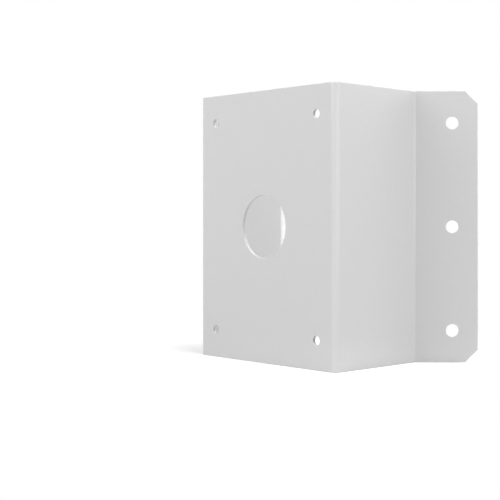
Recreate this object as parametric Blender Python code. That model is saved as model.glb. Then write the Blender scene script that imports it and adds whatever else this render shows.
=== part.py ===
"""A camera corner bracket: one folded sheet that fixes a camera to the outside corner of a building.

The bracket is made here the way a sheet shop makes it. A flat blank is cut to its outline with all its
holes, and is then folded along four upright lines: two right angles make the front plate and its sides,
and two shallower folds turn the flanges out so that they lie flat on the two walls.

The bracket stands on its lower edge. X runs to the right as seen from the front, Y runs back towards the
building and Z runs up. The origin is the middle of the bounding box's underside. Sizes are in metres.
"""

import math

import bmesh
import bpy

# The sheet and its folds
HEIGHT = 0.170
SHEET = 0.002
INNER_BEND_RADIUS = 0.002
FRONT_WIDTH = 0.125
# from the front plate's outer face to the line where the side's and the flange's outer faces would meet
SIDE_DEPTH = 0.071
# along the flange's outer face, from that same line to the free edge
FLANGE_WIDTH = 0.0395
SIDE_FOLD = math.radians(90)
# the building's corner, on whose two walls the flanges lie
WALL_CORNER = math.radians(90)

# Holes in the front plate
CABLE_HOLE = 0.0395
CAMERA_HOLE = 0.0055
CAMERA_HOLES_ACROSS = 0.093
CAMERA_HOLES_UP = 0.1345

# Holes and corners of the flanges
WALL_HOLE = 0.008
WALL_HOLES = 3
WALL_HOLE_PITCH = 0.065
WALL_HOLE_FROM_EDGE = 0.016
FLANGE_CHAMFER = 0.008

# The broken edge all round the blank
EDGE_BREAK = 0.00025

# How finely the rounds are drawn
HOLE_CHORD = 0.0015
LEAST_HOLE_SIDES = 24
BEND_STEP = math.radians(7.5)
SHARP_ANGLE = math.radians(30)
WELD_DISTANCE = 0.000002

BRACKET_NAME = "corner_bracket"
WHITE_POWDER_COAT = (0.66, 0.66, 0.66, 1.0)
COAT_ROUGHNESS = 0.45

# What follows from the sizes, along the middle of the sheet's thickness
FLANGE_FOLD = SIDE_FOLD - (math.pi - WALL_CORNER) / 2
MIDDLE_RADIUS = INNER_BEND_RADIUS + SHEET / 2
SIDE_TANGENT = MIDDLE_RADIUS * math.tan(SIDE_FOLD / 2)
FLANGE_TANGENT = MIDDLE_RADIUS * math.tan(FLANGE_FOLD / 2)
# the side's outer face is outside the front fold, and the flange's outer face is inside the flange fold
FRONT_INSET = SHEET / 2 * math.tan(SIDE_FOLD / 2)
FLANGE_OUTSET = SHEET / 2 * math.tan(FLANGE_FOLD / 2)


def fold_stations():
    """One half of the blank as (length, turn) stretches, from the front plate's middle to the free edge."""
    front = FRONT_WIDTH / 2 - FRONT_INSET - SIDE_TANGENT
    side = SIDE_DEPTH - FRONT_INSET - SIDE_TANGENT + FLANGE_OUTSET - FLANGE_TANGENT
    flange = FLANGE_WIDTH + FLANGE_OUTSET - FLANGE_TANGENT
    return [
        (front, 0.0),
        (MIDDLE_RADIUS * SIDE_FOLD, SIDE_FOLD),
        (side, 0.0),
        (MIDDLE_RADIUS * FLANGE_FOLD, -FLANGE_FOLD),
        (flange, 0.0),
    ]


def half_length():
    """How far the flat blank reaches from the bracket's middle to a flange's free edge."""
    return sum(length for length, _ in fold_stations())


def folded(along):
    """Where a point of the right half's middle line goes when the blank is folded, as (x, y, heading)."""
    x, y, heading = 0.0, 0.0, 0.0
    left = along
    for length, turn in fold_stations():
        step = min(left, length)
        left -= step
        if turn:
            turned = turn * step / length
            radius = length / turn
            x += radius * (math.sin(heading + turned) - math.sin(heading))
            y += radius * (math.cos(heading) - math.cos(heading + turned))
            heading += turned
        else:
            x += step * math.cos(heading)
            y += step * math.sin(heading)
    return x, y, heading


def fold_lines():
    """Where the flat blank is creased so that each bend is drawn in short flats, on the right half."""
    lines, start = [], 0.0
    for length, turn in fold_stations():
        if turn:
            count = max(2, math.ceil(abs(turn) / BEND_STEP))
            lines += [start + length * n / count for n in range(count + 1)]
        start += length
    return lines


def fold(blank):
    """Folds the flat blank: its X runs round the bracket, its Y is up, and its Z is out of the sheet."""
    for line in fold_lines():
        for side in (1, -1):
            bmesh.ops.bisect_plane(
                blank,
                geom=blank.verts[:] + blank.edges[:] + blank.faces[:],
                dist=WELD_DISTANCE,
                plane_co=(side * line, 0, 0),
                plane_no=(1, 0, 0),
            )
    for vert in blank.verts:
        along, up, out = vert.co
        side = -1 if along < 0 else 1
        x, y, heading = folded(abs(along))
        x += out * math.sin(heading)
        y -= out * math.cos(heading)
        vert.co = (side * x, y, up)


def add_ring(curve, points, clockwise):
    """Adds a closed outline to a flat curve. Holes run clockwise, and the blank's own outline doesn't."""
    spline = curve.splines.new("POLY")
    spline.points.add(len(points) - 1)
    ordered = reversed(points) if clockwise else points
    for point, (x, y) in zip(spline.points, ordered):
        point.co = (x, y, 0, 1)
    spline.use_cyclic_u = True


def add_hole(curve, x, y, diameter):
    """Adds a round hole to the blank."""
    sides = max(LEAST_HOLE_SIDES, 4 * math.ceil(math.pi * diameter / HOLE_CHORD / 4))
    angles = [2 * math.pi * n / sides for n in range(sides)]
    ring = [(x + diameter / 2 * math.cos(a), y + diameter / 2 * math.sin(a)) for a in angles]
    add_ring(curve, ring, clockwise=True)


def blank_curve():
    """The flat blank as a filled curve with all its holes, half its thickness each side of the middle."""
    curve = bpy.data.curves.new(BRACKET_NAME + "_blank", "CURVE")
    curve.dimensions = "2D"
    curve.fill_mode = "BOTH"
    curve.extrude = SHEET / 2 - EDGE_BREAK
    curve.bevel_depth = EDGE_BREAK
    curve.bevel_resolution = 0
    curve.offset = -EDGE_BREAK

    end, cut = half_length(), FLANGE_CHAMFER
    corners = [(end - cut, 0), (end, cut), (end, HEIGHT - cut), (end - cut, HEIGHT)]
    add_ring(curve, corners + [(-x, y) for x, y in reversed(corners)], clockwise=False)

    middle = HEIGHT / 2
    add_hole(curve, 0, middle, CABLE_HOLE)
    for side in (-1, 1):
        for up in (-1, 1):
            x, y = side * CAMERA_HOLES_ACROSS / 2, middle + up * CAMERA_HOLES_UP / 2
            add_hole(curve, x, y, CAMERA_HOLE)
        for n in range(WALL_HOLES):
            rise = (n - (WALL_HOLES - 1) / 2) * WALL_HOLE_PITCH
            add_hole(curve, side * (end - WALL_HOLE_FROM_EDGE), middle + rise, WALL_HOLE)
    return curve


def mesh_of(curve):
    """The curve as a mesh, with its loose caps welded on."""
    guide = bpy.data.objects.new(curve.name, curve)
    bpy.context.scene.collection.objects.link(guide)
    evaluated = guide.evaluated_get(bpy.context.evaluated_depsgraph_get())
    mesh = bpy.data.meshes.new_from_object(evaluated)
    bpy.data.objects.remove(guide)
    bpy.data.curves.remove(curve)
    solid = bmesh.new()
    solid.from_mesh(mesh)
    bmesh.ops.remove_doubles(solid, verts=solid.verts, dist=WELD_DISTANCE)
    solid.to_mesh(mesh)
    solid.free()
    return mesh


def powder_coat():
    """White powder coat on steel."""
    material = bpy.data.materials.new("white_powder_coat")
    material.use_nodes = True
    shader = material.node_tree.nodes["Principled BSDF"]
    shader.inputs["Base Color"].default_value = WHITE_POWDER_COAT
    shader.inputs["Roughness"].default_value = COAT_ROUGHNESS
    shader.inputs["Metallic"].default_value = 0.0
    return material


def corner_bracket(collection):
    """The folded bracket, standing on its lower edge and centred front to back."""
    mesh = mesh_of(blank_curve())
    mesh.name = BRACKET_NAME
    sheet = bmesh.new()
    sheet.from_mesh(mesh)
    fold(sheet)
    depths = [vert.co.y for vert in sheet.verts]
    bmesh.ops.translate(sheet, verts=sheet.verts, vec=(0, -(min(depths) + max(depths)) / 2, 0))
    bmesh.ops.recalc_face_normals(sheet, faces=sheet.faces)
    sheet.to_mesh(mesh)
    sheet.free()
    mesh.shade_smooth()
    mesh.set_sharp_from_angle(angle=SHARP_ANGLE)
    mesh.materials.clear()
    mesh.materials.append(powder_coat())
    bracket = bpy.data.objects.new(BRACKET_NAME, mesh)
    collection.objects.link(bracket)
    return bracket


def main():
    for old in list(bpy.data.objects):
        bpy.data.objects.remove(old)
    collection = bpy.data.collections.new("camera_corner_bracket")
    bpy.context.scene.collection.children.link(collection)
    corner_bracket(collection)


main()
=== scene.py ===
# %% [markdown]
# # A white corner bracket for a camera
#
# The object is one folded steel sheet with a white powder coat. Its front plate carries a camera, and its
# two flanges lie on the two walls at the outside corner of a building. This lesson models it the way a
# sheet shop makes it: a flat blank is cut and pierced, gets its thickness and its soft edges, and is then
# folded. After that come the coat, the floor, the lamps and the camera.
#
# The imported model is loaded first, and stays as it is. Everything here is in its frame: X runs to the
# right as seen from the front, Y runs back towards the wall, Z runs up, and one unit is a metre.

# %% Load the frame
import math

import bmesh
import bpy
from mathutils import Matrix, Vector


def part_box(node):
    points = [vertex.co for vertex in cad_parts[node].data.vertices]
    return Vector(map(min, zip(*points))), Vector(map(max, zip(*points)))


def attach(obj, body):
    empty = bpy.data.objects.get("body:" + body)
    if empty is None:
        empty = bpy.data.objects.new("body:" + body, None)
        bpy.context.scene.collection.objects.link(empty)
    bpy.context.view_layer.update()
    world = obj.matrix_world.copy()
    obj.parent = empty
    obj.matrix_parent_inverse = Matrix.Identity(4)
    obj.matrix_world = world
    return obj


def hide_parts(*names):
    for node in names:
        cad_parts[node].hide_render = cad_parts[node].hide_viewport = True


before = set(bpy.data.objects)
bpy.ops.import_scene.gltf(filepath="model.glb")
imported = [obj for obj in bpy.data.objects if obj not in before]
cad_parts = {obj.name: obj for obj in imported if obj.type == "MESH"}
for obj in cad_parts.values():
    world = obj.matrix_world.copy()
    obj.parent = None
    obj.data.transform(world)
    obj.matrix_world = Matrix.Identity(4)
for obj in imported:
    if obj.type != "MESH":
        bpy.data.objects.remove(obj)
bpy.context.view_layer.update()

LOW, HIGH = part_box("corner_bracket")
print("the bracket's box in mm:", [round(1000 * side, 2) for side in HIGH - LOW])

# %% [markdown]
# ## The sheet and its folds
#
# The height and the place of the front face come from the frame. The other sizes are those of the real
# bracket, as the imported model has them. The fold angles follow from its job: the sides stand square to the
# front plate, and each flange has to turn out until it meets a wall, which is half the corner's angle.
#
# A press folds the sheet round a small inner radius. In the middle of the sheet's thickness the metal
# neither stretches nor shrinks, so lengths are laid out along that middle line.

# %% The sheet and its folds
HEIGHT = HIGH.z - LOW.z
FRONT_FACE = LOW.y
SHEET = 0.002
INNER_BEND_RADIUS = 0.002
FRONT_WIDTH = 0.125
SIDE_DEPTH = 0.071
FLANGE_WIDTH = 0.0395
SIDE_FOLD = math.radians(90)
WALL_CORNER = math.radians(90)

FLANGE_FOLD = SIDE_FOLD - (math.pi - WALL_CORNER) / 2
MIDDLE_RADIUS = INNER_BEND_RADIUS + SHEET / 2


def half_blank():
    """The right half of the blank as (length, turn) stretches, from the front plate's middle outwards."""
    at_side = (SHEET / 2 + MIDDLE_RADIUS) * math.tan(SIDE_FOLD / 2)
    at_flange = (SHEET / 2 - MIDDLE_RADIUS) * math.tan(FLANGE_FOLD / 2)
    return [
        (FRONT_WIDTH / 2 - at_side, 0.0),
        (MIDDLE_RADIUS * SIDE_FOLD, SIDE_FOLD),
        (SIDE_DEPTH - at_side + at_flange, 0.0),
        (MIDDLE_RADIUS * FLANGE_FOLD, -FLANGE_FOLD),
        (FLANGE_WIDTH + at_flange, 0.0),
    ]


BLANK_END = sum(length for length, _ in half_blank())
print(f"the flat blank is {2000 * BLANK_END:.1f} by {1000 * HEIGHT:.1f} mm")

# %% [markdown]
# ## The holes
#
# Each hole is one line in a list: where it is on the blank and how wide. The large one in the middle lets
# the cable through, four small ones take the camera's screws, and three in each flange take the wall
# screws. A list like this keeps the pattern readable, and one loop can then cut every hole.

# %% List the holes
CABLE_HOLE = 0.0395
CAMERA_HOLE = 0.0055
CAMERA_HOLES_ACROSS = 0.093
CAMERA_HOLES_UP = 0.1345
WALL_HOLE = 0.008
WALL_HOLE_PITCH = 0.065
WALL_HOLE_FROM_EDGE = 0.016

MIDDLE = HEIGHT / 2
WALL_HOLE_ALONG = BLANK_END - WALL_HOLE_FROM_EDGE
holes = [(0.0, MIDDLE, CABLE_HOLE)]
for side in (-1, 1):
    for rise in (-CAMERA_HOLES_UP / 2, CAMERA_HOLES_UP / 2):
        holes.append((side * CAMERA_HOLES_ACROSS / 2, MIDDLE + rise, CAMERA_HOLE))
    for rise in (-WALL_HOLE_PITCH, 0.0, WALL_HOLE_PITCH):
        holes.append((side * WALL_HOLE_ALONG, MIDDLE + rise, WALL_HOLE))
print(len(holes), "holes")

# %% [markdown]
# ## Cut the blank
#
# The blank starts as a grid of one face, a metre wide, so that scaling it by the sheet's length and height
# gives it its size. (The size of a grid is half its width.) A vertex bevel with one segment cuts the
# corners off, which takes the sharp points off the flanges.

# %% Cut the blank
FLANGE_CHAMFER = 0.008

sheet = bmesh.new()
bmesh.ops.create_grid(sheet, x_segments=1, y_segments=1, size=0.5)
bmesh.ops.scale(sheet, vec=(2 * BLANK_END, HEIGHT, 1), verts=sheet.verts)
bmesh.ops.translate(sheet, vec=(0, MIDDLE, 0), verts=sheet.verts)
bmesh.ops.bevel(
    sheet, geom=sheet.verts[:], affect="VERTICES", offset=FLANGE_CHAMFER, segments=1, profile=0.5, material=-1
)
print("corners of the blank:", len(sheet.verts))

# %% [markdown]
# ## Pierce the holes
#
# A Boolean would cut the holes too, but it leaves long thin faces that shade badly once the rims are
# rounded. Here each hole gets a square cell of its own, by slicing the sheet with planes. The cell's face
# is taken out, its four sides are divided, and a circle with as many points is bridged to them. Every rim
# is then a clean ring of small faces.

# %% Helpers for slicing
ON_THE_PLANE = 0.000001


def parts_of(faces):
    """The faces with their edges and corners, which is what a slice needs."""
    edges = {edge for face in faces for edge in face.edges}
    verts = {vert for face in faces for vert in face.verts}
    return list(faces) + list(edges) + list(verts)


def slice_at(mesh, axis, place, faces=None):
    """Slices the mesh, or only the given faces, with a plane square to X (axis 0) or Y (axis 1)."""
    normal = Vector((0, 0, 0))
    normal[axis] = 1
    geom = parts_of(mesh.faces if faces is None else faces)
    bmesh.ops.bisect_plane(mesh, geom=geom, dist=ON_THE_PLANE, plane_co=normal * place, plane_no=normal)


def face_at(mesh, x, y):
    """The face whose middle is nearest to a point of the flat sheet."""
    return min(mesh.faces, key=lambda face: (face.calc_center_median() - Vector((x, y, 0))).length)


# %% Pierce the holes
CELL_MARGIN = 0.0025
RIM_STEP = 0.0008
LEAST_SIDE_STEPS = 8
IN_LINE = 0.0001


def pierce(mesh, x, y, diameter):
    """Cuts one round hole in the middle of a square cell that has already been sliced out."""
    steps = max(LEAST_SIDE_STEPS, math.ceil(math.pi * diameter / RIM_STEP / 4))
    cell = face_at(mesh, x, y)
    sides = cell.edges[:]
    bmesh.ops.delete(mesh, geom=[cell], context="FACES_ONLY")
    cut = bmesh.ops.subdivide_edges(mesh, edges=sides, cuts=steps - 1)
    outer = [part for part in cut["geom_inner"] + cut["geom"] if isinstance(part, bmesh.types.BMEdge)]
    ring = bmesh.ops.create_circle(
        mesh, segments=4 * steps, radius=diameter / 2, matrix=Matrix.Translation((x, y, 0))
    )
    inner = {edge for vert in ring["verts"] for edge in vert.link_edges}
    bmesh.ops.bridge_loops(mesh, edges=list(set(outer)) + list(inner))


columns = sorted({(x, diameter) for x, _, diameter in holes})
for x, diameter in columns:
    reach = diameter / 2 + CELL_MARGIN
    for place in (x - reach, x + reach):
        slice_at(sheet, 0, place)
for x, y, diameter in holes:
    reach = diameter / 2 + CELL_MARGIN
    for place in (y - reach, y + reach):
        column = [face for face in sheet.faces if abs(face.calc_center_median().x - x) < IN_LINE]
        slice_at(sheet, 1, place, column)
for hole in holes:
    pierce(sheet, *hole)
print("faces of the pierced blank:", len(sheet.faces))

# %% [markdown]
# ## Thickness and soft edges
#
# Extruding every face at once gives the sheet its thickness and closes it all round. A cut edge is never
# a perfect corner: it is deburred, and the powder melts into a thicker, rounder film there. So every
# sharp edge gets a small round of three faces. The outline is filed rounder than the punched holes, whose
# rims stay crisp, so the two kinds of edge are told apart by their place and bevelled in turn. The rings
# round the holes make the bevel run cleanly.
#
# The faces of the rounds are marked with an attribute named rim, from which the coat knows where they are.

# %% Thickness
thick = bmesh.ops.extrude_face_region(sheet, geom=sheet.faces[:])
lifted = [part for part in thick["geom"] if isinstance(part, bmesh.types.BMVert)]
bmesh.ops.translate(sheet, vec=(0, 0, SHEET), verts=lifted)
bmesh.ops.translate(sheet, vec=(0, 0, -SHEET / 2), verts=sheet.verts)
bmesh.ops.recalc_face_normals(sheet, faces=sheet.faces)
print("faces of the thick blank:", len(sheet.faces))

# %% Helpers for soft edges
SHARP = math.radians(30)
ROUND_FACES = 3
NEAR_A_HOLE = 0.0005


def sharp_edges(mesh):
    """The edges where two faces meet at a clear corner."""
    return [edge for edge in mesh.edges if edge.calc_face_angle(0) > SHARP]


def on_a_hole(edge):
    """True for an edge on the rim of one of the holes."""
    middle = (edge.verts[0].co + edge.verts[1].co) / 2
    reach = [math.hypot(middle.x - x, middle.y - y) - diameter / 2 for x, y, diameter in holes]
    return min(reach) < NEAR_A_HOLE


def soften(mesh, edges, radius):
    """Rounds the edges and marks the new faces as rim."""
    rim = mesh.faces.layers.float["rim"]
    rounds = bmesh.ops.bevel(
        mesh, geom=edges, affect="EDGES", offset=radius, segments=ROUND_FACES, profile=0.5, material=-1
    )
    for face in rounds["faces"]:
        face[rim] = 1.0


# %% Soft edges
OUTLINE_ROUND = 0.00045
HOLE_ROUND = 0.0002

sheet.faces.layers.float.new("rim")
outline = [edge for edge in sharp_edges(sheet) if not on_a_hole(edge)]
soften(sheet, outline, OUTLINE_ROUND)
hole_rims = [edge for edge in sharp_edges(sheet) if on_a_hole(edge)]
soften(sheet, hole_rims, HOLE_ROUND)
print("rounded:", len(outline), "edges of the outline and", len(hole_rims), "of the holes")

# %% [markdown]
# ## Fold it
#
# The blank is sliced along many close lines where it will bend, and every point is then carried to where
# the folded sheet takes it. A function follows the middle line, along the straight stretches and round the
# bends, and gives the place and the heading there. The left half is folded as the mirror image.
#
# Bending a finished blank, holes and edges included, keeps the sheet at one thickness everywhere, which a
# shell grown from a folded surface only does with care.
#
# The fold also marks the crown, the outer side of each bend, with an attribute of the points: 1 in the
# middle of a square bend, half of that in the gentler bend of a flange, and 0 where a bend ends. Powder
# gathers there as it does on the edges, and the coat whitens the crown more than that: part of the
# bright line along each bend is a painted highlight.

# %% Helper for folding
SQUARE_TURN = math.radians(90)


def folded(along):
    """Where a point of the right half's middle line goes: (x, y, heading), and how deep in a bend it is."""
    x, y, heading, crown = 0.0, 0.0, 0.0, 0.0
    left = along
    for length, turn in half_blank():
        step = min(left, length)
        left -= step
        if turn:
            crown += math.sin(math.pi * step / length) * turn / SQUARE_TURN
            radius = length / turn
            ahead = heading + turn * step / length
            x += radius * (math.sin(ahead) - math.sin(heading))
            y += radius * (math.cos(heading) - math.cos(ahead))
            heading = ahead
        else:
            x += step * math.cos(heading)
            y += step * math.sin(heading)
    return x, y, heading, crown


# %% Fold it
BEND_STEP = math.radians(3)

start = 0.0
for length, turn in half_blank():
    if turn:
        strips = math.ceil(abs(turn) / BEND_STEP)
        for n in range(strips + 1):
            for side in (-1, 1):
                slice_at(sheet, 0, side * (start + length * n / strips))
    start += length

# The crown attribute drives a whiter film on each bend, partly film build and partly a painted highlight.
crown_highlight_mark = sheet.verts.layers.float.new("crown")
for vert in sheet.verts:
    along, up, out = vert.co
    side = -1 if along < 0 else 1
    x, y, heading, crown = folded(abs(along))
    vert[crown_highlight_mark] = max(0.0, crown * out / (SHEET / 2))
    back = FRONT_FACE + SHEET / 2 + y
    vert.co = (side * (x + out * math.sin(heading)), back - out * math.cos(heading), LOW.z + up)
bmesh.ops.recalc_face_normals(sheet, faces=sheet.faces)
print("the folded sheet has", len(sheet.verts), "points")

# %% [markdown]
# ## From mesh to piece
#
# The finished mesh becomes an object at the origin, with its place in its points. Smooth shading lets the
# bends and rims read as round. Weighted normals, at the highest weight for large faces, keep the flats
# truly flat, so that the small rounds along their borders don't pull their shading about.

# %% From mesh to piece
LARGE_FACES_LEAD = 100

bracket_mesh = bpy.data.meshes.new("folded_bracket")
sheet.to_mesh(bracket_mesh)
sheet.free()
bracket_mesh.shade_smooth()
bracket = bpy.data.objects.new("folded_bracket", bracket_mesh)
bpy.context.scene.collection.objects.link(bracket)
flat_shading = bracket.modifiers.new("flat_shading", "WEIGHTED_NORMAL")
flat_shading.mode = "FACE_AREA"
flat_shading.weight = LARGE_FACES_LEAD
flat_shading.keep_sharp = False

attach(bracket, "root")
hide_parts("corner_bracket")
print("faces:", len(bracket_mesh.polygons))

# %% [markdown]
# ## The powder film
#
# A powder coat starts as dry resin dust that clings to the steel by a charge, and is baked until it runs
# together. The film never gets quite level: it keeps low waves a millimetre or two long, like the skin of an
# orange, and a finer grain on top. Its thickness drifts a little from place to place.
#
# A picture could carry this, but it would need an unwrapped sheet and would stretch round the bends. Noise
# that is read from Object coordinates has its right size everywhere. The noises sit in a node group with
# named inputs and outputs, so the same film can go on any other steel part with its own values. A noise
# hardly ever comes near 0 or 1, so the drift is stretched from the narrower range in which it lies.

# %% Helpers for node groups
def add_socket(group, name, in_out, kind="NodeSocketFloat"):
    """Gives a node group a named input or output."""
    group.interface.new_socket(name=name, in_out=in_out, socket_type=kind)


def add_noise(tree, vector, scale, detail):
    """A noise texture whose scale comes from another socket."""
    noise = tree.nodes.new("ShaderNodeTexNoise")
    noise.inputs["Detail"].default_value = detail
    tree.links.new(vector, noise.inputs["Vector"])
    tree.links.new(scale, noise.inputs["Scale"])
    return noise.outputs["Fac"]


def add_range(tree, value, low, high, to_low=0.0, to_high=1.0):
    """Stretches the values from low to high over a new range, and holds them there."""
    span = tree.nodes.new("ShaderNodeMapRange")
    span.inputs["From Min"].default_value = low
    span.inputs["From Max"].default_value = high
    span.inputs["To Min"].default_value = to_low
    span.inputs["To Max"].default_value = to_high
    tree.links.new(value, span.inputs["Value"])
    return span.outputs["Result"]


def add_colors(tree, factor, first, second):
    """Goes from the first colour to the second. Sockets 6 and 7 of a Mix node are its two colours."""
    mix = tree.nodes.new("ShaderNodeMix")
    mix.data_type = "RGBA"
    mix.inputs[6].default_value = first
    mix.inputs[7].default_value = second
    tree.links.new(factor, mix.inputs["Factor"])
    return mix.outputs[2]


# %% The powder film
LEAST_NOISE = 0.3
MOST_NOISE = 0.7

film = bpy.data.node_groups.new("powder_film", "ShaderNodeTree")
add_socket(film, "Place", "INPUT", "NodeSocketVector")
for name in ("Wave Scale", "Grain Scale", "Grain Share", "Drift Scale"):
    add_socket(film, name, "INPUT")
for name in ("Height", "Fullness"):
    add_socket(film, name, "OUTPUT")
given = film.nodes.new("NodeGroupInput").outputs
result = film.nodes.new("NodeGroupOutput").inputs

waves = add_noise(film, given["Place"], given["Wave Scale"], detail=1.0)
grain = add_noise(film, given["Place"], given["Grain Scale"], detail=2.0)
drift = add_noise(film, given["Place"], given["Drift Scale"], detail=2.0)
height = film.nodes.new("ShaderNodeMath")
height.operation = "MULTIPLY_ADD"
film.links.new(grain, height.inputs[0])
film.links.new(given["Grain Share"], height.inputs[1])
film.links.new(waves, height.inputs[2])
film.links.new(height.outputs["Value"], result["Height"])
film.links.new(add_range(film, drift, LEAST_NOISE, MOST_NOISE), result["Fullness"])
print("group:", film.name, "puts out", [socket.name for socket in result if socket.name])

# %% [markdown]
# ## The white satin coat
#
# The coat is a neutral white that sends back two thirds of the light. In the oven some clear resin rises and
# levels out on top, which gives the coat its satin sheen: a skin that the Principled shader's Coat inputs
# stand for, over a body that is a little rougher.
#
# The charge draws more powder to edges and to the crowns of the bends than to the flats, and a full film is
# whiter and smoother than a thin one. So three things make the film full: its own drift, the rim attribute
# and the crown attribute. Their sum moves the colour by a few parts in a hundred and the roughness a little,
# and the waves and the grain go to a Bump node. The crown is whitened more than film build alone would do,
# and that whiter crown is a painted highlight along each bend, seen from where the camera stands. The rest
# is hardly seen from there, as on the real one. It shows close by, where light grazes the sheet.

# %% Helpers for the coat
def add_share(tree, value, share, rest):
    """value times share, plus the rest, which is a socket or a number."""
    total = tree.nodes.new("ShaderNodeMath")
    total.operation = "MULTIPLY_ADD"
    total.inputs[1].default_value = share
    tree.links.new(value, total.inputs[0])
    if isinstance(rest, float):
        total.inputs[2].default_value = rest
    else:
        tree.links.new(rest, total.inputs[2])
    return total.outputs["Value"]


def add_attribute(tree, name):
    """Reads a number that the mesh carries."""
    reader = tree.nodes.new("ShaderNodeAttribute")
    reader.attribute_name = name
    return reader.outputs["Fac"]


# %% How full the film is
WAVE_SCALE = 650.0
GRAIN_SCALE = 3200.0
GRAIN_SHARE = 0.12
DRIFT_SCALE = 400.0
FLAT_FULLNESS = 0.19
DRIFT_SHARE = 0.13
RIM_SHARE = 0.4
# The crown's share whitens the outer side of each bend: partly film build, partly a painted highlight.
CROWN_HIGHLIGHT_SHARE = 0.8

coat = bpy.data.materials.new("satin_white_powder")
coat.use_nodes = True
tree = coat.node_tree
powder = tree.nodes.new("ShaderNodeGroup")
powder.node_tree = film
powder.inputs["Wave Scale"].default_value = WAVE_SCALE
powder.inputs["Grain Scale"].default_value = GRAIN_SCALE
powder.inputs["Grain Share"].default_value = GRAIN_SHARE
powder.inputs["Drift Scale"].default_value = DRIFT_SCALE
tree.links.new(tree.nodes.new("ShaderNodeTexCoord").outputs["Object"], powder.inputs["Place"])

fullness = add_share(tree, powder.outputs["Fullness"], DRIFT_SHARE, FLAT_FULLNESS)
fullness = add_share(tree, add_attribute(tree, "rim"), RIM_SHARE, fullness)
fullness = add_share(tree, add_attribute(tree, "crown"), CROWN_HIGHLIGHT_SHARE, fullness)
fullness = add_range(tree, fullness, 0.0, 1.0)
print("fullness on a flat:", FLAT_FULLNESS, "to", round(FLAT_FULLNESS + DRIFT_SHARE, 2))

# %% White satin coat
THIN_WHITE = (0.640, 0.640, 0.640, 1.0)
# The full white is a thick film's colour, and on the crowns of the bends it also paints a highlight.
FULL_FILM_AND_HIGHLIGHT_WHITE = (0.720, 0.720, 0.720, 1.0)
THIN_ROUGHNESS = 0.28
FULL_ROUGHNESS = 0.23
BINDER_IOR = 1.6
SKIN_WEIGHT = 0.7
SKIN_ROUGHNESS = 0.2
FILM_DEPTH = 0.000008

shader = tree.nodes["Principled BSDF"]
tree.links.new(add_colors(tree, fullness, THIN_WHITE, FULL_FILM_AND_HIGHLIGHT_WHITE), shader.inputs["Base Color"])
gloss = add_range(tree, fullness, 0.0, 1.0, THIN_ROUGHNESS, FULL_ROUGHNESS)
tree.links.new(gloss, shader.inputs["Roughness"])
shader.inputs["IOR"].default_value = BINDER_IOR
shader.inputs["Coat Weight"].default_value = SKIN_WEIGHT
shader.inputs["Coat Roughness"].default_value = SKIN_ROUGHNESS

bump = tree.nodes.new("ShaderNodeBump")
bump.inputs["Strength"].default_value = 1.0
bump.inputs["Distance"].default_value = FILM_DEPTH
tree.links.new(powder.outputs["Height"], bump.inputs["Height"])
tree.links.new(bump.outputs["Normal"], shader.inputs["Normal"])
bracket_mesh.materials.append(coat)
print("coat:", coat.name, "with", len(tree.nodes), "nodes")

# %% [markdown]
# ## The floor and the background
#
# The bracket stands on a pale floor. To the camera and in reflections, the floor and the world are plain
# white. Close to the bracket the floor is a lit surface, lifted a little, so that it keeps the soft shadow,
# and further out it fades into the white. All other rays see an ordinary pale floor and an even grey-white
# room. A backdrop lit until it is white would do too, but its light would wash over the bracket.

# %% Floor
FLOOR_SIZE = 8.0

floor_mesh = bpy.data.meshes.new("floor")
plane = bmesh.new()
bmesh.ops.create_grid(plane, x_segments=1, y_segments=1, size=FLOOR_SIZE / 2)
bmesh.ops.translate(plane, vec=(0, 0, LOW.z), verts=plane.verts)
plane.to_mesh(floor_mesh)
plane.free()
floor = bpy.data.objects.new("floor", floor_mesh)
bpy.context.scene.collection.objects.link(floor)
print("floor:", FLOOR_SIZE, "m wide")


# %% Helpers for the white background
def seen_directly(tree):
    """1 for rays from the camera, and for those that come by a mirror or through glass."""
    path = tree.nodes.new("ShaderNodeLightPath")
    total = path.outputs["Is Camera Ray"]
    for kind in ("Is Glossy Ray", "Is Transmission Ray"):
        add = tree.nodes.new("ShaderNodeMath")
        add.operation = "MAXIMUM"
        tree.links.new(total, add.inputs[0])
        tree.links.new(path.outputs[kind], add.inputs[1])
        total = add.outputs["Value"]
    return total


def add_mix(tree, factor, first, second):
    """Mixes two shaders: all of the first where the factor is 0, and all of the second where it is 1."""
    mix = tree.nodes.new("ShaderNodeMixShader")
    tree.links.new(factor, mix.inputs["Fac"])
    tree.links.new(first, mix.inputs[1])
    tree.links.new(second, mix.inputs[2])
    return mix.outputs["Shader"]


# %% Floor paint
FLOOR_COLOR = (0.6, 0.6, 0.6, 1.0)
WHITE = (1.0, 1.0, 1.0, 1.0)
LIFT_STRENGTH = 0.25
SHADOW_FADE_FROM = 0.09
SHADOW_FADE_TO = 0.20

paint = bpy.data.materials.new("pale_floor")
paint.use_nodes = True
tree = paint.node_tree
tree.nodes.remove(tree.nodes["Principled BSDF"])
matt = tree.nodes.new("ShaderNodeBsdfDiffuse")
matt.inputs["Color"].default_value = FLOOR_COLOR
lit = tree.nodes.new("ShaderNodeBsdfDiffuse")
lit.inputs["Color"].default_value = WHITE
lift = tree.nodes.new("ShaderNodeEmission")
lift.inputs["Strength"].default_value = LIFT_STRENGTH
lit_and_lift = tree.nodes.new("ShaderNodeAddShader")
tree.links.new(lit.outputs["BSDF"], lit_and_lift.inputs[0])
tree.links.new(lift.outputs["Emission"], lit_and_lift.inputs[1])
white = tree.nodes.new("ShaderNodeEmission")

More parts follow.
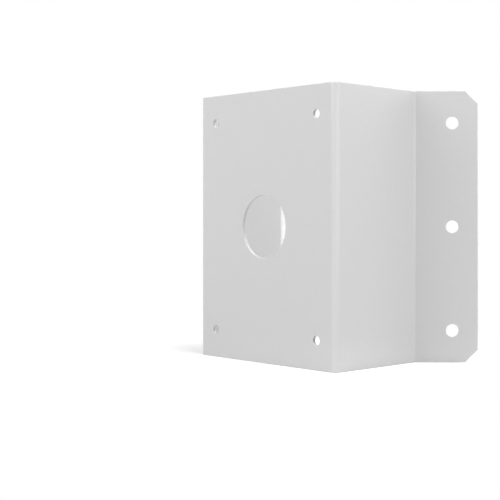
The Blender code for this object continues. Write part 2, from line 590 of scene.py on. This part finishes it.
distance = tree.nodes.new("ShaderNodeVectorMath")
distance.operation = "LENGTH"
tree.links.new(tree.nodes.new("ShaderNodeTexCoord").outputs["Object"], distance.inputs[0])
fade = tree.nodes.new("ShaderNodeMapRange")
fade.interpolation_type = "SMOOTHSTEP"
fade.inputs["From Min"].default_value = SHADOW_FADE_FROM
fade.inputs["From Max"].default_value = SHADOW_FADE_TO
tree.links.new(distance.outputs["Value"], fade.inputs["Value"])

near = lit_and_lift.outputs["Shader"]
near_and_far = add_mix(tree, fade.outputs["Result"], near, white.outputs["Emission"])
by_ray = add_mix(tree, seen_directly(tree), matt.outputs["BSDF"], near_and_far)
tree.links.new(by_ray, tree.nodes["Material Output"].inputs["Surface"])
floor_mesh.materials.append(paint)
print("floor paint:", paint.name, "is all white from", SHADOW_FADE_TO, "m out")

# %% World
ROOM_STRENGTH = 0.2

world = bpy.data.worlds.new("pale_room")
bpy.context.scene.world = world
world.use_nodes = True
tree = world.node_tree
room = tree.nodes["Background"]
room.inputs["Color"].default_value = WHITE
room.inputs["Strength"].default_value = ROOM_STRENGTH
backdrop = tree.nodes.new("ShaderNodeBackground")
backdrop.inputs["Color"].default_value = WHITE
backdrop.inputs["Strength"].default_value = 1.0
by_ray = add_mix(tree, seen_directly(tree), room.outputs["Background"], backdrop.outputs["Background"])
tree.links.new(by_ray, tree.nodes["World Output"].inputs["Surface"])
print("world:", world.name, "with strength", ROOM_STRENGTH)

# %% [markdown]
# ## The lamps
#
# Five soft panels stand round the bracket, each turned to it. The key lights the front plate from a little
# left of square, so that the side plate keeps it off the inner corner of the flange. The overhead does most
# of the work on the right: it stands high, so the side plate is brighter at the top than at the foot, and
# some of its light reaches over the plate into the bracket. The side panel is wide, low and weak. It adds
# little light, but its reflection lies along the bend and draws the bright line there, together with the
# painted highlight of the coat's whiter crown. The rear and the back panel shine in from behind, so that the
# cable hole isn't a dark hole and its lower edge catches the light.
#
# A lamp's power spreads over its area, so the same power gives a softer light from a larger panel. The
# powers here add up to a level at which the white coat renders about as its colour is written.

# %% Helper for lamps
AIM = (LOW + HIGH) / 2
LAMP_DISTANCE = 1.6


def panel(name, azimuth, elevation, width, height, power):
    """An area lamp that faces the bracket. Azimuth 0 is in front of it and 90 on its right."""
    light = bpy.data.lights.new(name, "AREA")
    light.shape = "RECTANGLE"
    light.size = width
    light.size_y = height
    light.energy = power
    lamp = bpy.data.objects.new(name, light)
    flat = math.cos(math.radians(elevation))
    away = Vector((
        math.sin(math.radians(azimuth)) * flat,
        -math.cos(math.radians(azimuth)) * flat,
        math.sin(math.radians(elevation)),
    ))
    lamp.location = AIM + away * LAMP_DISTANCE
    lamp.rotation_mode = "QUATERNION"
    lamp.rotation_quaternion = away.to_track_quat("Z", "Y")
    bpy.context.scene.collection.objects.link(lamp)


# %% Lamps
panel("key", azimuth=-15, elevation=30, width=1.0, height=1.0, power=14.9)
panel("side", azimuth=92, elevation=5, width=1.5, height=1.2, power=6.6)
panel("overhead", azimuth=92, elevation=60, width=1.0, height=1.0, power=14.6)
panel("rear", azimuth=165, elevation=20, width=1.0, height=1.0, power=13.0)
panel("back", azimuth=180, elevation=40, width=1.0, height=1.0, power=4.0)

# %% [markdown]
# ## The camera
#
# The photograph was taken level, from 46 degrees round to the right and a little above the bracket's
# middle. The lens and the distance come from how much the far parts shrink. A small shift puts the bracket
# right of the middle without tilting its upright edges.

# %% Camera
CAMERA_RIGHT = 0.51148
CAMERA_IN_FRONT = 0.46123
CAMERA_ABOVE_MIDDLE = 0.005
CAMERA_AZIMUTH = math.radians(46.073)
LEVEL = math.radians(90)
SENSOR_WIDTH = 36.0
LENS = 79.65
SHIFT_X = -0.100
SHIFT_Y = -0.0626
NEAREST_SEEN = 0.01

camera = bpy.data.objects.new("camera", bpy.data.cameras.new("camera"))
bpy.context.scene.collection.objects.link(camera)
camera.data.sensor_width = SENSOR_WIDTH
camera.data.lens = LENS
camera.data.shift_x = SHIFT_X
camera.data.shift_y = SHIFT_Y
camera.data.clip_start = NEAREST_SEEN
camera.location = (CAMERA_RIGHT, FRONT_FACE - CAMERA_IN_FRONT, LOW.z + MIDDLE + CAMERA_ABOVE_MIDDLE)
camera.rotation_euler = (LEVEL, 0, CAMERA_AZIMUTH)
bpy.context.scene.camera = camera
bpy.context.scene.view_settings.view_transform = "Standard"
print("camera at", [round(value, 4) for value in camera.location])
